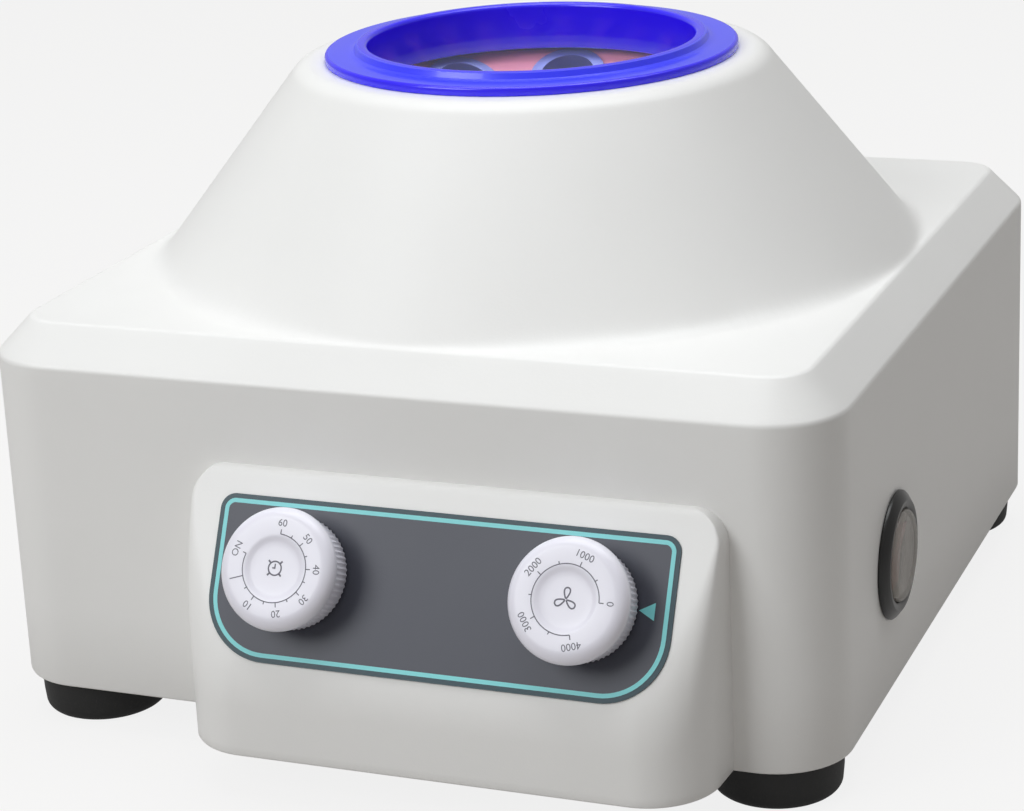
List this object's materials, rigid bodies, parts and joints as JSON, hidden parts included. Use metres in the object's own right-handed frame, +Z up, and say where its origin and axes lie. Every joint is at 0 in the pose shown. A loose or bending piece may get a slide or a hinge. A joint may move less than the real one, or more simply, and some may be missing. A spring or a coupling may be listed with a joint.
{
  "type": "cytocentrifuge",
  "caption": "Benchtop angle-rotor centrifuge with a conical top, a lift-off windowed lid, timer and speed knobs on a sloped panel, and a side switch.",
  "frame": {"origin": "centre of the whole machine's footprint on the bench, in the plane that the rubber feet stand on", "axes": "+Z up along the rotor's axis, -Y out of the control panel, +X out of the side with the switch"},
  "size_m": [0.259, 0.298, 0.1859],
  "materials": {
    "housing": "satin white moulded ABS",
    "base_plate": "grey-white powder coat",
    "base_screws": "plated steel",
    "panel_overlay": "printed polyester film",
    "foot_front_left": "black rubber",
    "foot_front_right": "black rubber",
    "foot_rear_left": "black rubber",
    "foot_rear_right": "black rubber",
    "foot_screws": "plated steel",
    "guard_bowl": "drawn stainless steel",
    "bowl_screws": "plated steel",
    "motor_bracket": "grey paint",
    "bracket_dampers": "black rubber",
    "damper_screws": "plated steel",
    "motor_can": "zinc plated",
    "motor_top_cap": "die cast",
    "stator_core": "stacked laminations",
    "field_coils": "enamelled copper wire",
    "shaft_bearings": "ground steel",
    "brush_holders": "moulded phenolic",
    "carbon_brushes": "pressed carbon",
    "motor_shaft": "plated steel",
    "armature_core": "stacked laminations",
    "armature_windings": "enamelled copper wire",
    "commutator": "turned copper",
    "cooling_fan": "moulded nylon",
    "drive_collar": "turned",
    "rotor_body": "pink enamel on cast aluminium",
    "tube_sleeve_1": "anodised blue-grey",
    "tube_sleeve_2": "anodised blue-grey",
    "tube_sleeve_3": "anodised blue-grey",
    "tube_sleeve_4": "anodised blue-grey",
    "tube_sleeve_5": "anodised blue-grey",
    "tube_sleeve_6": "anodised blue-grey",
    "tube_sleeve_7": "anodised blue-grey",
    "tube_sleeve_8": "anodised blue-grey",
    "rotor_washer": "plated steel",
    "rotor_nut": "black moulded",
    "lid_rim": "blue moulded plastic",
    "lid_window": "clear acrylic",
    "lid_seal": "black rubber",
    "timer_body": "zinc plated case",
    "timer_shaft": "plated steel",
    "timer_knob": "white moulded",
    "speed_control": "moulded case",
    "speed_shaft": "plated steel",
    "speed_knob": "white moulded",
    "panel_nuts": "plated",
    "control_board": "green glass-epoxy board",
    "board_pillars": "plated steel",
    "board_parts": "heat sink and parts",
    "switch_bezel": "black moulded",
    "switch_body": "black moulded",
    "switch_boot": "translucent grey cover",
    "switch_rocker": "red moulded",
    "power_inlet": "black moulded",
    "inlet_pins": "plated brass",
    "fuse_holder": "black moulded",
    "fuse_cap": "black moulded"
  },
  "bodies": {
    "base": {"housing": "housing", "base_plate": "base_plate", "base_screws": "base_screws", "panel_overlay": "panel_overlay", "foot_front_left": "foot_front_left", "foot_front_right": "foot_front_right", "foot_rear_left": "foot_rear_left", "foot_rear_right": "foot_rear_right", "foot_screws": "foot_screws", "guard_bowl": "guard_bowl", "bowl_screws": "bowl_screws", "motor_bracket": "motor_bracket", "bracket_dampers": "bracket_dampers", "damper_screws": "damper_screws", "motor_can": "motor_can", "motor_top_cap": "motor_top_cap", "stator_core": "stator_core", "field_coils": "field_coils", "shaft_bearings": "shaft_bearings", "brush_holders": "brush_holders", "carbon_brushes": "carbon_brushes", "timer_body": "timer_body", "speed_control": "speed_control", "panel_nuts": "panel_nuts", "control_board": "control_board", "board_pillars": "board_pillars", "board_parts": "board_parts", "switch_bezel": "switch_bezel", "switch_body": "switch_body", "switch_boot": "switch_boot", "power_inlet": "power_inlet", "inlet_pins": "inlet_pins", "fuse_holder": "fuse_holder", "fuse_cap": "fuse_cap"},
    "spinner": {"motor_shaft": "motor_shaft", "armature_core": "armature_core", "armature_windings": "armature_windings", "commutator": "commutator", "cooling_fan": "cooling_fan", "drive_collar": "drive_collar", "rotor_body": "rotor_body", "tube_sleeve_1": "tube_sleeve_1", "tube_sleeve_2": "tube_sleeve_2", "tube_sleeve_3": "tube_sleeve_3", "tube_sleeve_4": "tube_sleeve_4", "tube_sleeve_5": "tube_sleeve_5", "tube_sleeve_6": "tube_sleeve_6", "tube_sleeve_7": "tube_sleeve_7", "tube_sleeve_8": "tube_sleeve_8", "rotor_washer": "rotor_washer", "rotor_nut": "rotor_nut"},
    "lid": {"lid_rim": "lid_rim", "lid_window": "lid_window", "lid_seal": "lid_seal"},
    "timer_dial": {"timer_shaft": "timer_shaft", "timer_knob": "timer_knob"},
    "speed_dial": {"speed_shaft": "speed_shaft", "speed_knob": "speed_knob"},
    "rocker": {"switch_rocker": "switch_rocker"}
  },
  "joints": [
    {"name": "rotor_spin", "type": "hinge", "parent": "base", "child": "spinner", "pos_m": [-0.002, 0.0135, 0.15], "axis": [0, 0, 1], "continuous": true},
    {"name": "lid_lift", "type": "slide", "parent": "base", "child": "lid", "axis": [0, 0, 1], "range_m": [0, 0.15]},
    {"name": "timer_turn", "type": "hinge", "parent": "base", "child": "timer_dial", "pos_m": [-0.022, -0.12928, 0.06424], "axis": [0, 0.891, -0.454], "range_deg": [-28, 260]},
    {"name": "speed_turn", "type": "hinge", "parent": "base", "child": "speed_dial", "pos_m": [0.062, -0.12928, 0.06424], "axis": [0, 0.891, -0.454], "range_deg": [0, 285]},
    {"name": "switch_rock", "type": "hinge", "parent": "base", "child": "rocker", "pos_m": [0.1215, -0.0475, 0.0535], "axis": [0, -1, 0], "range_deg": [0, 16]}
  ]
}
